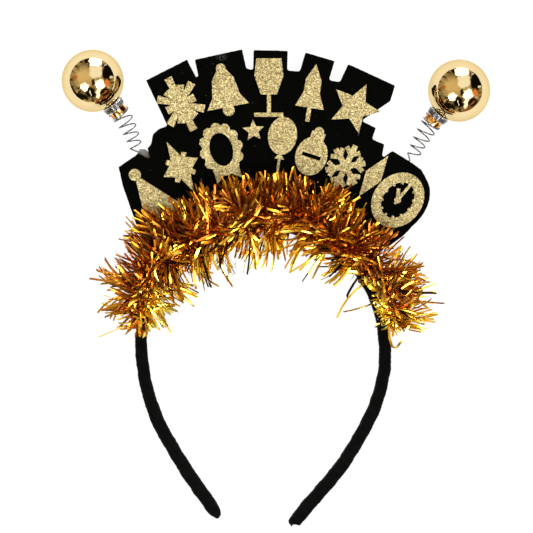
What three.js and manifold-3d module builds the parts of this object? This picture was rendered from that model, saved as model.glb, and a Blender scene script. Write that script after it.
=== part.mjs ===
// A new year headband lying flat on its back: a cloth-wound hoop with a black felt fan, gold glitter
// motifs, a tinsel garland along the crown, and two gold balls on springs.
// Millimetres. +X right, +Y towards the top of the fan, +Z towards the front, the side that faces up.
// The drawing's zero is on the line between the temples, midway, at the height of the table.

import * as THREE from 'three';
import { mergeVertices } from 'three/addons/utils/BufferGeometryUtils.js';
import Module from 'manifold-3d';

const wasm = await Module();
wasm.setup();

// Driving dimensions

const GAP = 0.3; // left between pieces that touch

const TEMPLE_WIDTH = 122; // between the centre lines of the two legs, where the hoop is widest
const CROWN_RISE = 59; // from the line between the temples up to the centre line of the crown
const LEG_DROP = 88.3; // from the line between the temples down to the tips
const BAND_THICK = 6.5; // as seen from the front
const BAND_DEPTH = 8; // front to back
const BAND_ROUNDING = 2.3; // of the four long edges

const FELT_THICK = 2.5;
const FAN_CENTRE_RIGHT = 0.85; // the point that the tabs and motifs fan out from
const FAN_CENTRE_RISE = 20.5;
const TAB_RADIUS = 125.3; // from there to the tops of the tabs
const TAB_RISE = 9.9; // from the notches between the tabs up to their tops

const GLITTER_THICK = 1;

const TINSEL_REACH = 19; // how far the longest strips stand out from the garland's core
const TINSEL_CORE = 8.2; // radius of the dense part
const TINSEL_HEIGHT = 14.2; // of the core's centre above the table
const LOCK_WIDTH = 3.2; // a lock is a bundle of strips
const LOCK_LEAN = 0.3; // how far a lock leans along the strand, as a share of its length
const END_SPLAY = 0.75; // the same, added at the two ends of the garland
const LOCK_COUNT = 190;

const BALL_RADIUS = 15.5;
const BALL_WALL = 0.7;
const BALL_NECK = 3.2; // radius of the hole under the cap
const CAP_FLANGE = 5.8; // radius
const CAP_SLEEVE = 4.2; // radius
const CAP_HEIGHT = 6.3;
const FLUTE_COUNT = 12;
const SPRING_RADIUS = 5; // at the cap
const SPRING_END_RADIUS = 3.1; // at the felt
const WIRE = 0.6;
const TURNS = 5;
const SPRING_REACH = 42.6; // from the centre of a ball to the edge of the felt
const TAIL = 8; // the straight wire behind the felt, half of it in the glue
const GLUE_LENGTH = 11;
const GLUE_WIDTH = 8;
const GLUE_HEIGHT = 3.4;

// What follows from them

const HALF_WIDTH = TEMPLE_WIDTH / 2;
const FELT_BACK = BAND_DEPTH + GAP;
const FELT_FRONT = FELT_BACK + FELT_THICK;
const GLITTER_BACK = FELT_FRONT + GAP;
const GLITTER_FRONT = GLITTER_BACK + GLITTER_THICK;
const LOBE_RADIUS = 0.15 * TAB_RADIUS; // the round lobe at the right end of the fan
const MOTIF_HEIGHT = 0.2315 * TAB_RADIUS;
const STROKE = 0.17 * MOTIF_HEIGHT; // the bars and rings of the motifs

// Colours and finishes

const look = (color, roughness, metalness) => new THREE.MeshStandardMaterial({ color, roughness, metalness });
const knit = () => look(0x101010, 0.95, 0);
const felt = () => look(0x0a0b08, 1, 0);
const glitter = () => look(0xc3af70, 0.5, 0.6);
const foil = () => look(0xb86a14, 0.3, 0.9);
const chromeGold = () => look(0xe2cc96, 0.08, 1);
const capMetal = () => look(0xc9c4b8, 0.25, 1);
const steel = () => look(0x8f9294, 0.35, 1);
const glue = () => look(0xb9b4a6, 0.4, 0);

// Tables. Each leg of the hoop, from the temples to its tip: down is a share of LEG_DROP, left and
// right are shares of half the temple width, thick is a share of BAND_THICK.

const LEGS = [
  { down: 0.0, left: 1.0, right: 1.003, thick: 0.94 },
  { down: 0.128, left: 0.988, right: 1.004, thick: 0.97 },
  { down: 0.246, left: 0.962, right: 0.974, thick: 1.0 },
  { down: 0.355, left: 0.914, right: 0.926, thick: 1.02 },
  { down: 0.468, left: 0.854, right: 0.852, thick: 1.04 },
  { down: 0.581, left: 0.76, right: 0.755, thick: 1.05 },
  { down: 0.695, left: 0.662, right: 0.657, thick: 1.06 },
  { down: 0.808, left: 0.554, right: 0.522, thick: 1.07 },
  { down: 0.921, left: 0.436, right: 0.377, thick: 1.05 },
  { down: 1.0, left: 0.35, right: 0.275, thick: 0.9 },
];

// The tabs along the top of the fan: turn in degrees to the right of straight up, width in shares of
// TAB_RADIUS, lean is how many degrees the top edge leans back from square to its own spoke.
const TABS = [
  { turn: -22.8, width: 0.184, lean: -4.0 },
  { turn: -10.4, width: 0.194, lean: -2.0 },
  { turn: 1.6, width: 0.137, lean: -0.4 },
  { turn: 13.0, width: 0.122, lean: 3.6 },
  { turn: 25.5, width: 0.206, lean: -0.8 },
];

// The stepped shoulders of the fan, outside the tabs: turn as above, out in shares of TAB_RADIUS.
const LEFT_SHOULDER = [
  { turn: -62.9, out: 0.551 },
  { turn: -57.4, out: 0.614 },
  { turn: -50.7, out: 0.727 },
  { turn: -47.3, out: 0.788 },
  { turn: -40.2, out: 0.772 },
  { turn: -38.6, out: 0.72 },
  { turn: -37.3, out: 0.766 },
  { turn: -35.8, out: 0.769 },
  { turn: -33.7, out: 0.798 },
  { turn: -31.3, out: 0.804 },
  { turn: -28.8, out: 0.797 },
];
const RIGHT_SHOULDER = [
  { turn: 32.4, out: 0.944 },
  { turn: 28.5, out: 0.818 },
  { turn: 33.0, out: 0.823 },
  { turn: 33.8, out: 0.777 },
  { turn: 37.6, out: 0.789 },
  { turn: 39.6, out: 0.739 },
  { turn: 40.6, out: 0.789 },
  { turn: 47.4, out: 0.811 },
];
const LOBE = { turn: 49.8, out: 0.674, from: 38, to: -62 }; // its centre, and its arc in degrees
const RIGHT_CORNER = { turn: 66.5, out: 0.54 };

// The motifs: row is how far out they are, in shares of TAB_RADIUS, turn as above, lean is the motif's
// own tilt in degrees to the left, and width and height are in shares of MOTIF_HEIGHT.
const UPPER_ROW = 0.851;
const LOWER_ROW = 0.627;
const MOTIFS = [
  { name: 'burst', shape: burst, row: UPPER_ROW, turn: -22.8, lean: 26, width: 0.76, height: 1.0 },
  { name: 'bell', shape: bell, row: UPPER_ROW, turn: -10.4, lean: 11, width: 0.73, height: 0.94 },
  { name: 'flute', shape: flute, row: UPPER_ROW, turn: 1.4, lean: 0, width: 0.5, height: 1.0 },
  { name: 'rocket', shape: rocket, row: UPPER_ROW, turn: 13.0, lean: -9, width: 0.5, height: 1.0 },
  { name: 'star_large', shape: star, row: UPPER_ROW, turn: 25.2, lean: -27, width: 0.9, height: 0.9 },
  { name: 'hat', shape: hat, row: LOWER_ROW, turn: -47.0, lean: 36, width: 0.7, height: 1.0 },
  { name: 'sparkle', shape: sparkle, row: LOWER_ROW, turn: -31.8, lean: 29, width: 0.68, height: 1.0 },
  { name: 'wreath', shape: wreath, row: LOWER_ROW, turn: -15.6, lean: 15, width: 0.74, height: 0.92 },
  { name: 'star_small', shape: star, row: LOWER_ROW + 0.053, turn: -3.4, lean: 4, width: 0.38, height: 0.38 },
  { name: 'balloon', shape: balloon, row: LOWER_ROW, turn: 6.4, lean: -8, width: 0.5, height: 0.96 },
  { name: 'bauble', shape: bauble, row: LOWER_ROW, turn: 18.2, lean: -18, width: 0.55, height: 0.84 },
  { name: 'snowflake', shape: snowflake, row: LOWER_ROW, turn: 31.3, lean: -26, width: 0.65, height: 0.8 },
  { name: 'diamond', shape: diamond, row: LOWER_ROW + 0.036, turn: 41.3, lean: -36, width: 0.31, height: 0.86 },
  { name: 'clock', shape: clock, row: LOWER_ROW + 0.0415, turn: 53.0, lean: -40, width: 0.84, height: 1.02 },
];

// The garland's path and reach along the crown: turn in degrees round from the right temple, side is
// how far the core lies outside the hoop's centre line, and outer and inner are how far the strips
// stand out, all in shares of TINSEL_REACH.
const STRAND = [
  { turn: 170, side: 0.0, outer: 0.65, inner: 0.5 },
  { turn: 160, side: 0.1, outer: 1.05, inner: 0.8 },
  { turn: 149, side: 0.18, outer: 1.3, inner: 1.0 },
  { turn: 138, side: 0.2, outer: 1.35, inner: 1.15 },
  { turn: 126, side: 0.08, outer: 1.35, inner: 1.1 },
  { turn: 113, side: 0.02, outer: 1.35, inner: 1.1 },
  { turn: 98, side: 0.1, outer: 1.3, inner: 1.1 },
  { turn: 86, side: 0.24, outer: 1.15, inner: 1.1 },
  { turn: 73, side: 0.28, outer: 1.2, inner: 0.95 },
  { turn: 58, side: 0.2, outer: 1.2, inner: 1.05 },
  { turn: 44, side: 0.12, outer: 1.2, inner: 0.9 },
  { turn: 32, side: 0.48, outer: 1.1, inner: 0.3 },
  { turn: 20, side: 0.58, outer: 0.85, inner: 0.3 },
  { turn: 9, side: 0.56, outer: 0.72, inner: 0.3 },
];

// The two balls: the spring's tail goes in behind the fan at a turn and distance, and the ball lies
// that many degrees to the right of straight up from there.
const BALLS = [
  { name: 'left', turn: -40.0, out: 0.776, heading: -33.2 },
  { name: 'right', turn: 46.0, out: 0.81, heading: 36.0 },
];

// Small helpers

const MERGE_DISTANCE = 1e-3; // corners closer than this are one corner

const radians = THREE.MathUtils.degToRad;
const lerp = THREE.MathUtils.lerp;
const clamp = THREE.MathUtils.clamp;

// A point of the fan, given by its turn to the right of straight up and its distance.
function fanPoint(turn, distance) {
  const angle = radians(turn);
  return new THREE.Vector2(
    FAN_CENTRE_RIGHT + distance * Math.sin(angle),
    FAN_CENTRE_RISE + distance * Math.cos(angle),
  );
}

// A repeatable number from 0 to 1 for each pair of whole numbers.
function chance(index, channel) {
  const value = Math.sin(index * 12.9898 + channel * 78.233) * 43758.5453;
  return value - Math.floor(value);
}

// The value of one column of a table at a place between its rows.
function column(rows, name, key, at) {
  const rising = rows[rows.length - 1][key] > rows[0][key];
  const next = rows.findIndex((row) => (rising ? row[key] >= at : row[key] <= at));
  if (next <= 0) return rows[next === 0 ? 0 : rows.length - 1][name];
  const share = (at - rows[next - 1][key]) / (rows[next][key] - rows[next - 1][key]);
  return lerp(rows[next - 1][name], rows[next][name], share);
}

function solid(geometry) {
  const bare = geometry.clone();
  for (const name of Object.keys(bare.attributes)) {
    if (name !== 'position') bare.deleteAttribute(name);
  }
  const merged = mergeVertices(bare, MERGE_DISTANCE);
  const mesh = new wasm.Mesh({
    numProp: 3,
    vertProperties: new Float32Array(merged.attributes.position.array),
    triVerts: new Uint32Array(merged.index.array),
  });
  return new wasm.Manifold(mesh);
}

function geometryOf(manifold) {
  const mesh = manifold.getMesh();
  const geometry = new THREE.BufferGeometry();
  geometry.setAttribute('position', new THREE.BufferAttribute(mesh.vertProperties, 3));
  geometry.setIndex(new THREE.BufferAttribute(mesh.triVerts, 1));
  return geometry;
}

const joined = (solids) => wasm.Manifold.union(solids);

// The largest closed surface of a solid, without loose scraps and without the voids inside it.
function outerShell(manifold) {
  const surfaces = manifold.decompose().flatMap((body) => solid(geometryOf(body)).decompose());
  const largest = surfaces.reduce((a, b) => (a.volume() > b.volume() ? a : b));
  return surfaces.length > 1 ? outerShell(largest) : largest;
}

// A closed body through rings that have the same number of points each, with flat ends.
function loft(rings) {
  const count = rings[0].length;
  const points = rings.flat();
  const index = [];
  for (let ring = 0; ring + 1 < rings.length; ring += 1) {
    for (let k = 0; k < count; k += 1) {
      const a = ring * count + k;
      const b = ring * count + ((k + 1) % count);
      index.push(a, b, b + count, a, b + count, a + count);
    }
  }
  const last = (rings.length - 1) * count;
  for (let k = 1; k + 1 < count; k += 1) {
    index.push(0, k + 1, k, last, last + k, last + k + 1);
  }
  const geometry = new THREE.BufferGeometry().setFromPoints(points);
  geometry.setIndex(index);
  return geometry;
}

function extrude(shape, depth, bottom) {
  const geometry = new THREE.ExtrudeGeometry(shape, { depth, bevelEnabled: false, curveSegments: 8 });
  return geometry.translate(0, 0, bottom);
}

// The hoop

// A point of the crown's centre line, moved outwards by side: turn runs from the right temple, 0,
// over the crown, 90, to the left temple, 180.
function crownPoint(turn, side = 0) {
  const angle = radians(turn);
  const outward = new THREE.Vector2(Math.cos(angle) / HALF_WIDTH, Math.sin(angle) / CROWN_RISE).normalize();
  return new THREE.Vector2(HALF_WIDTH * Math.cos(angle), CROWN_RISE * Math.sin(angle)).addScaledVector(outward, side);
}

// The centre line from the left tip over the crown to the right tip, with the share of the thickness.
function hoopLine() {
  const line = [];
  for (const row of [...LEGS].reverse()) {
    line.push({ x: -row.left * HALF_WIDTH, y: -row.down * LEG_DROP, thick: row.thick });
  }
  const steps = 26;
  for (let k = 1; k < steps; k += 1) {
    const point = crownPoint(180 - (180 * k) / steps);
    line.push({ x: point.x, y: point.y, thick: LEGS[0].thick });
  }
  for (const row of LEGS) {
    line.push({ x: row.right * HALF_WIDTH, y: -row.down * LEG_DROP, thick: row.thick });
  }
  return line;
}

// The cross-section is a rectangle with round corners, flat at the back, where the hoop lies.
function bandSection(thick, depth, rounding) {
  const points = [];
  const corners = [[1, 1], [-1, 1], [-1, -1], [1, -1]];
  corners.forEach(([sideways, up], corner) => {
    for (let k = 0; k < 3; k += 1) {
      const angle = radians(90 * corner + 45 * k);
      points.push([
        sideways * (thick / 2 - rounding) + rounding * Math.cos(angle),
        up * (depth / 2 - rounding) + rounding * Math.sin(angle),
      ]);
    }
  });
  return points;
}

function hoop(grow = 0) {
  const line = hoopLine();
  const rings = line.map((here, k) => {
    const before = line[Math.max(k - 1, 0)];
    const after = line[Math.min(k + 1, line.length - 1)];
    const outward = new THREE.Vector2(before.y - after.y, after.x - before.x).normalize();
    const section = bandSection(BAND_THICK * here.thick + 2 * grow, BAND_DEPTH + 2 * grow, BAND_ROUNDING + grow);
    return section.map(([side, up]) => new THREE.Vector3(
      here.x + outward.x * side,
      here.y + outward.y * side,
      BAND_DEPTH / 2 + up,
    ));
  });
  return loft(rings);
}

// The felt fan

function tabCorners({ turn, width, lean }) {
  const middle = fanPoint(turn, TAB_RADIUS);
  const half = (width * TAB_RADIUS) / 2;
  const along = radians(turn + lean);
  const edge = new THREE.Vector2(Math.cos(along), -Math.sin(along));
  const down = new THREE.Vector2(-Math.sin(along), -Math.cos(along)).multiplyScalar(TAB_RISE);
  const left = middle.clone().addScaledVector(edge, -half);
  const right = middle.clone().addScaledVector(edge, half);
  return { left, right, leftFoot: left.clone().add(down), rightFoot: right.clone().add(down) };
}

function fanOutline() {
  const outline = LEFT_SHOULDER.map(({ turn, out }) => fanPoint(turn, out * TAB_RADIUS));
  TABS.forEach((tab, k) => {
    const { left, right, leftFoot, rightFoot } = tabCorners(tab);
    if (k > 0) outline.push(leftFoot);
    outline.push(left, right);
    if (k + 1 < TABS.length) outline.push(rightFoot);
  });
  outline.push(...RIGHT_SHOULDER.map(({ turn, out }) => fanPoint(turn, out * TAB_RADIUS)));
  const lobe = fanPoint(LOBE.turn, LOBE.out * TAB_RADIUS);
  const arcSteps = 10;
  for (let k = 0; k <= arcSteps; k += 1) {
    const angle = radians(lerp(LOBE.from, LOBE.to, k / arcSteps));
    outline.push(new THREE.Vector2(
      lobe.x + LOBE_RADIUS * Math.cos(angle),
      lobe.y + LOBE_RADIUS * Math.sin(angle),
    ));
  }
  outline.push(fanPoint(RIGHT_CORNER.turn, RIGHT_CORNER.out * TAB_RADIUS));
  // the lower edge lies on the front of the hoop
  const edgeSteps = 12;
  const edgeFrom = 42;
  for (let k = 0; k <= edgeSteps; k += 1) {
    outline.push(crownPoint(lerp(edgeFrom, 180 - edgeFrom, k / edgeSteps), -0.35 * BAND_THICK));
  }
  return outline;
}

const feltPanel = () => extrude(new THREE.Shape(fanOutline()), FELT_THICK, FELT_BACK);

// The motifs, each drawn upright round its middle in a box of the given width and height

const polygon = (points) => new THREE.Shape(points.map(([x, y]) => new THREE.Vector2(x, y)));

function disc(x, y, radiusX, radiusY = radiusX, sides = 24) {
  const points = [];
  for (let k = 0; k < sides; k += 1) {
    const angle = (2 * Math.PI * k) / sides;
    points.push([x + radiusX * Math.cos(angle), y + radiusY * Math.sin(angle)]);
  }
  return polygon(points);
}

function bar(fromX, fromY, toX, toY, startWidth, endWidth = startWidth) {
  const along = new THREE.Vector2(toX - fromX, toY - fromY).normalize();
  const [sideX, sideY] = [-along.y / 2, along.x / 2];
  return polygon([
    [fromX - sideX * startWidth, fromY - sideY * startWidth],
    [toX - sideX * endWidth, toY - sideY * endWidth],
    [toX + sideX * endWidth, toY + sideY * endWidth],
    [fromX + sideX * startWidth, fromY + sideY * startWidth],
  ]);
}

// Rays from the middle of an oval: ray k of count, long ones and short ones in turn.
function rays(count, radiusX, radiusY, shortShare, startWidth, endWidth) {
  return Array.from({ length: count }, (_, k) => {
    const angle = (2 * Math.PI * k) / count;
    const share = k % 2 ? shortShare : 1;
    return bar(0, 0, share * radiusX * Math.sin(angle), share * radiusY * Math.cos(angle), startWidth, endWidth);
  });
}

function starPoints(points, radiusX, radiusY, inner) {
  const corners = [];
  for (let k = 0; k < 2 * points; k += 1) {
    const angle = (Math.PI * k) / points;
    const share = k % 2 ? inner : 1;
    corners.push([share * radiusX * Math.sin(angle), share * radiusY * Math.cos(angle)]);
  }
  return polygon(corners);
}

function burst(width, height) {
  return { add: [disc(0, 0, STROKE * 0.75), ...rays(12, width / 2, height / 2, 0.7, STROKE * 0.4, STROKE * 0.82)] };
}

function star(width, height) {
  return { add: [starPoints(5, width / 2, height / 2, 0.46)] };
}

function sparkle(width, height) {
  return {
    add: [
      starPoints(4, width / 2, height / 2, 0.42),
      ...rays(8, 0.25 * height, 0.28 * height, 1, STROKE * 0.6, STROKE * 0.5),
    ],
  };
}

function diamond(width, height) {
  return { add: [starPoints(2, width / 2, height / 2, 1)] };
}

function bell(width, height) {
  const half = width / 2;
  const top = height / 2;
  return {
    add: [
      polygon([
        [-half, -0.3 * height], [half, -0.3 * height], [half * 0.66, -0.1 * height], [half * 0.52, 0.22 * height],
        [half * 0.24, 0.38 * height], [-half * 0.24, 0.38 * height], [-half * 0.52, 0.22 * height],
        [-half * 0.66, -0.1 * height],
      ]),
      disc(0, top - STROKE * 0.45, STROKE * 0.5, STROKE * 0.5, 14),
      disc(0, -0.36 * height, STROKE * 0.6, STROKE * 0.6, 14),
    ],
  };
}

function flute(width, height) {
  const half = width / 2;
  return {
    add: [
      polygon([
        [-half * 0.86, 0.5 * height], [-half, 0.2 * height], [-half * 0.55, -0.12 * height],
        [half * 0.55, -0.12 * height], [half, 0.2 * height], [half * 0.86, 0.5 * height],
      ]),
      bar(0, -0.1 * height, 0, -0.48 * height, STROKE * 0.4),
      bar(-half, -0.47 * height, half, -0.47 * height, STROKE * 0.4),
    ],
  };
}

function rocket(width, height) {
  const half = width / 2;
  return {
    add: [
      polygon([
        [-half * 0.55, -0.2 * height], [half * 0.55, -0.2 * height], [half * 0.55, 0.22 * height],
        [0, 0.5 * height], [-half * 0.55, 0.22 * height],
      ]),
      polygon([[-half, -0.26 * height], [half, -0.26 * height], [half * 0.5, 0.04 * height], [-half * 0.5, 0.04 * height]]),
      bar(0, -0.2 * height, 0, -0.5 * height, STROKE * 0.42),
    ],
  };
}

function hat(width, height) {
  const half = width / 2;
  return {
    add: [
      polygon([[-half, -0.46 * height], [half, -0.46 * height], [0, 0.42 * height]]),
      disc(0, 0.4 * height, STROKE * 0.62, STROKE * 0.62, 14),
      ...[-1, -0.5, 0, 0.5, 1].map((share) => disc(share * half * 0.88, -0.46 * height, STROKE * 0.42, STROKE * 0.42, 12)),
    ],
  };
}

function wreath(width, height) {
  const add = [disc(0, 0, width / 2 - 0.25 * STROKE, height / 2 - 0.25 * STROKE, 20)];
  const count = 12;
  for (let k = 0; k < count; k += 1) {
    const angle = (2 * Math.PI * k) / count;
    add.push(disc(
      (width / 2 - 0.5 * STROKE) * Math.sin(angle),
      (height / 2 - 0.5 * STROKE) * Math.cos(angle),
      STROKE * 0.56, STROKE * 0.56, 8,
    ));
  }
  const bow = -height / 2 + 0.4 * STROKE;
  add.push(polygon([[0, bow], [STROKE * 1.3, bow + STROKE], [STROKE * 1.3, bow - STROKE]]));
  add.push(polygon([[0, bow], [-STROKE * 1.3, bow - STROKE], [-STROKE * 1.3, bow + STROKE]]));
  return { add, cut: [disc(0, 0, width / 2 - STROKE, height / 2 - STROKE, 22)] };
}

function balloon(width, height) {
  return {
    add: [
      disc(0, 0.16 * height, width / 2, 0.34 * height),
      polygon([[0, -0.14 * height], [-STROKE * 0.5, -0.26 * height], [STROKE * 0.5, -0.26 * height]]),
      bar(0, -0.24 * height, 0, -0.5 * height, STROKE * 0.26),
    ],
  };
}

function bauble(width, height) {
  return {
    add: [
      disc(0, -0.1 * height, width / 2, 0.4 * height),
      bar(-STROKE * 0.7, 0.34 * height, STROKE * 0.7, 0.34 * height, STROKE * 0.7),
      disc(0, 0.42 * height, STROKE * 0.5, STROKE * 0.5, 12),
    ],
    cut: [bar(-0.3 * width, -0.1 * height, 0.3 * width, -0.1 * height, STROKE * 0.4)],
  };
}

function snowflake(width, height) {
  const add = [disc(0, 0, STROKE * 0.6, STROKE * 0.6, 12)];
  for (let k = 0; k < 6; k += 1) {
    const angle = (Math.PI * k) / 3;
    const [x, y] = [(width / 2) * Math.sin(angle), (height / 2) * Math.cos(angle)];
    add.push(bar(0, 0, x, y, STROKE * 0.56));
    for (const turn of [-0.9, 0.9]) {
      const branch = 0.2 * height;
      add.push(bar(0.55 * x, 0.55 * y, 0.55 * x + branch * Math.sin(angle + turn),
        0.55 * y + branch * Math.cos(angle + turn), STROKE * 0.46));
    }
  }
  return { add };
}

// A ring with twelve marks, and two hands that meet just before twelve.
function clock(width, height) {
  const [ringX, ringY] = [width / 2 - STROKE, height / 2 - STROKE];
  const marks = Array.from({ length: 12 }, (_, k) => {
    const angle = (Math.PI * k) / 6;
    const at = (share) => [share * (ringX + 0.2 * STROKE) * Math.sin(angle), share * (ringY + 0.2 * STROKE) * Math.cos(angle)];
    return bar(...at(0.8), ...at(1), STROKE * 0.24);
  });
  return {
    ring: { outer: disc(0, 0, width / 2, height / 2, 28), inner: disc(0, 0, ringX, ringY, 28) },
    add: [
      ...marks,
      disc(0, 0, STROKE * 0.34, STROKE * 0.34, 12),
      bar(0, -0.08 * height, 0, ringY + 0.2 * STROKE, STROKE * 0.3),
      bar(0, 0, -0.14 * width, 0.16 * height, STROKE * 0.36),
    ],
  };
}

function motif({ shape, row, turn, lean, width, height }) {
  const { add, cut = [], ring } = shape(width * MOTIF_HEIGHT, height * MOTIF_HEIGHT);
  const plate = (outline) => solid(extrude(outline, GLITTER_THICK, 0));
  const punch = (outline) => solid(extrude(outline, 3 * GLITTER_THICK, -GLITTER_THICK));
  let whole = joined(add.map(plate));
  if (ring) whole = joined([whole, plate(ring.outer).subtract(punch(ring.inner))]);
  for (const outline of cut) whole = whole.subtract(punch(outline));
  const middle = fanPoint(turn, row * TAB_RADIUS);
  return geometryOf(whole).rotateZ(radians(lean)).translate(middle.x, middle.y, GLITTER_BACK);
}

// The tinsel

function strandAt(share) {
  const turn = lerp(STRAND[0].turn, STRAND[STRAND.length - 1].turn, share);
  const value = (name) => column(STRAND, name, 'turn', turn) * TINSEL_REACH;
  const here = crownPoint(turn, value('side'));
  const outward = here.clone().sub(crownPoint(turn, value('side') - 1)).normalize();
  return { here, outward, outer: value('outer'), inner: value('inner') };
}

// A point at an angle round the strand: 0 is outwards, 90 is to the front, 180 is inwards.
function aroundStrand({ here, outward }, angle, distance) {
  const side = distance * Math.cos(radians(angle));
  return new THREE.Vector3(
    here.x + outward.x * side,
    here.y + outward.y * side,
    TINSEL_HEIGHT + distance * Math.sin(radians(angle)),
  );
}

function tinselCore() {
  const steps = 24;
  const rings = [];
  for (let k = 0; k <= steps; k += 1) {
    const strand = strandAt(k / steps);
    const end = Math.min(1, 0.35 + 6 * Math.min(k, steps - k) / steps);
    rings.push(Array.from({ length: 8 }, (_, point) => {
      const angle = 45 * point;
      const reach = Math.cos(radians(angle)) > 0 ? strand.outer : strand.inner;
      const stretch = Math.abs(Math.cos(radians(angle))) ** 2;
      const radius = end * TINSEL_CORE * lerp(1, clamp(reach / TINSEL_REACH, 0.5, 1.25), stretch);
      return aroundStrand(strand, angle, radius * (0.9 + 0.2 * chance(k, point)));
    }));
  }
  return loft(rings);
}

// One lock is a thin three-sided spike. It leans along the strand by a share of its length.
function tinselLock(index) {
  const share = (index + 0.5) / LOCK_COUNT;
  const strand = strandAt(share);
  const angle = lerp(-55, 235, (index * 0.618034) % 1);
  const sideways = Math.cos(radians(angle));
  const reach = Math.hypot(
    (sideways > 0 ? strand.outer : strand.inner) * sideways,
    0.86 * TINSEL_REACH * Math.sin(radians(angle)),
  );
  const length = reach * (0.74 + 0.34 * chance(index, 1));
  const tip = aroundStrand(strand, angle, length);
  const along = new THREE.Vector3(strand.outward.y, -strand.outward.x, 0);
  // the lean changes slowly, so that locks fan out and don't cross, and the ends splay
  const splay = END_SPLAY * (Math.max(0, 1 - (1 - share) / 0.07) - Math.max(0, 1 - share / 0.07));
  tip.addScaledVector(along, length * (LOCK_LEAN * Math.sin(radians(1080 * share + angle)) + splay));
  tip.z = Math.max(tip.z, 1.2);
  const foot = aroundStrand(strand, angle, 0.35 * TINSEL_CORE);
  const spoke = tip.clone().sub(foot).normalize();
  const across = along.clone().cross(spoke).normalize();
  const corner = (turn) => foot.clone()
    .addScaledVector(along, LOCK_WIDTH * Math.cos(radians(turn)))
    .addScaledVector(across, LOCK_WIDTH * Math.sin(radians(turn)));
  const geometry = new THREE.BufferGeometry().setFromPoints([corner(0), corner(120), corner(240), tip]);
  geometry.setIndex([0, 1, 2, 0, 3, 1, 1, 3, 2, 2, 3, 0]);
  return solid(geometry);
}

function tinsel() {
  const locks = Array.from({ length: LOCK_COUNT }, (_, index) => tinselLock(index));
  let garland = joined([solid(tinselCore()), ...locks]);
  // room for the hoop, and for the felt with all that is on it and behind it
  garland = garland.subtract(solid(hoop(GAP)));
  const fan = new THREE.Shape(fanOutline());
  const behind = extrude(fan, GLITTER_FRONT + GAP + BAND_DEPTH, -BAND_DEPTH);
  for (let k = 0; k < 8; k += 1) {
    const angle = (Math.PI * k) / 4;
    garland = garland.subtract(solid(behind.clone().translate(GAP * Math.cos(angle), GAP * Math.sin(angle), 0)));
  }
  return geometryOf(outerShell(garland));
}

// Balls, caps and springs, drawn along +Z from the middle of the ball towards the felt

function ball() {
  const outline = [];
  const neckAngle = Math.asin(BALL_NECK / BALL_RADIUS);
  const outerSteps = 11;
  for (let k = 0; k <= outerSteps; k += 1) {
    const angle = lerp(Math.PI, neckAngle, k / outerSteps);
    outline.push(new THREE.Vector2(k === 0 ? 0 : BALL_RADIUS * Math.sin(angle), BALL_RADIUS * Math.cos(angle)));
  }
  const inside = BALL_RADIUS - BALL_WALL;
  const insideNeck = Math.asin(BALL_NECK / inside);
  const innerSteps = 6;
  for (let k = 0; k <= innerSteps; k += 1) {
    const angle = lerp(insideNeck, Math.PI, k / innerSteps);
    outline.push(new THREE.Vector2(k === innerSteps ? 0 : inside * Math.sin(angle), inside * Math.cos(angle)));
  }
  return new THREE.LatheGeometry(outline, 20).rotateX(Math.PI / 2);
}

// The cap's rings from the ball outwards: up in shares of CAP_HEIGHT, radius in shares of the radius
// named, fluted is how deep the flutes go.
const CAP_RINGS = [
  { up: 0.0, of: CAP_FLANGE, radius: 0.9, fluted: 0.05 },
  { up: 0.1, of: CAP_FLANGE, radius: 1.0, fluted: 0.05 },
  { up: 0.34, of: CAP_FLANGE, radius: 0.94, fluted: 0.05 },
  { up: 0.46, of: CAP_SLEEVE, radius: 1.04, fluted: 0.02 },
  { up: 0.55, of: CAP_SLEEVE, radius: 1.0, fluted: 0.0 },
  { up: 0.92, of: CAP_SLEEVE, radius: 1.0, fluted: 0.0 },
  { up: 1.0, of: CAP_SLEEVE, radius: 0.86, fluted: 0.0 },
];

// The rim of the cap's foot just clears the ball.
const CAP_FOOT = Math.sqrt(BALL_RADIUS ** 2 - (CAP_FLANGE * 0.85) ** 2) + 2 * GAP;

function cap() {
  const count = 2 * FLUTE_COUNT;
  const bottom = Math.max(CAP_FOOT, BALL_RADIUS + GAP);
  const rings = CAP_RINGS.map(({ up, of, radius, fluted }) => Array.from({ length: count }, (_, k) => {
    const angle = (2 * Math.PI * k) / count;
    const size = of * radius * (1 - (k % 2) * fluted);
    return new THREE.Vector3(size * Math.cos(angle), size * Math.sin(angle), bottom + up * CAP_HEIGHT);
  }));
  return loft(rings);
}

function wireAlong(points, steps) {
  const section = new THREE.Shape(Array.from({ length: 5 }, (_, k) => {
    const angle = (2 * Math.PI * k) / 5;
    return new THREE.Vector2((WIRE / 2) * Math.cos(angle), (WIRE / 2) * Math.sin(angle));
  }));
  const path = new THREE.CatmullRomCurve3(points);
  return new THREE.ExtrudeGeometry(section, { steps, bevelEnabled: false, extrudePath: path });
}

const SPRING_START = BALL_RADIUS + GAP + CAP_HEIGHT * 0.66;
const SPRING_STOP = SPRING_REACH - 2.6;

// The coil goes round the cap's sleeve, narrows towards the felt and ends in a straight tail.
function spring() {
  const points = [];
  const perTurn = 12;
  const total = TURNS * perTurn;
  for (let k = 0; k <= total; k += 1) {
    const share = k / total;
    const angle = (2 * Math.PI * k) / perTurn;
    const radius = lerp(SPRING_RADIUS, SPRING_END_RADIUS, share);
    const up = lerp(SPRING_START, SPRING_STOP, share ** 1.12);
    points.push(new THREE.Vector3(radius * Math.cos(angle), radius * Math.sin(angle), up));
  }
  points.push(new THREE.Vector3(SPRING_END_RADIUS * 0.5, SPRING_END_RADIUS * 0.6, lerp(SPRING_STOP, SPRING_REACH, 0.4)));
  for (const along of [-0.2, 0.1, 0.4, 1]) points.push(new THREE.Vector3(0, 0, SPRING_REACH + along * TAIL * 0.5));
  return wireAlong(points, total + 8);
}

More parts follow.
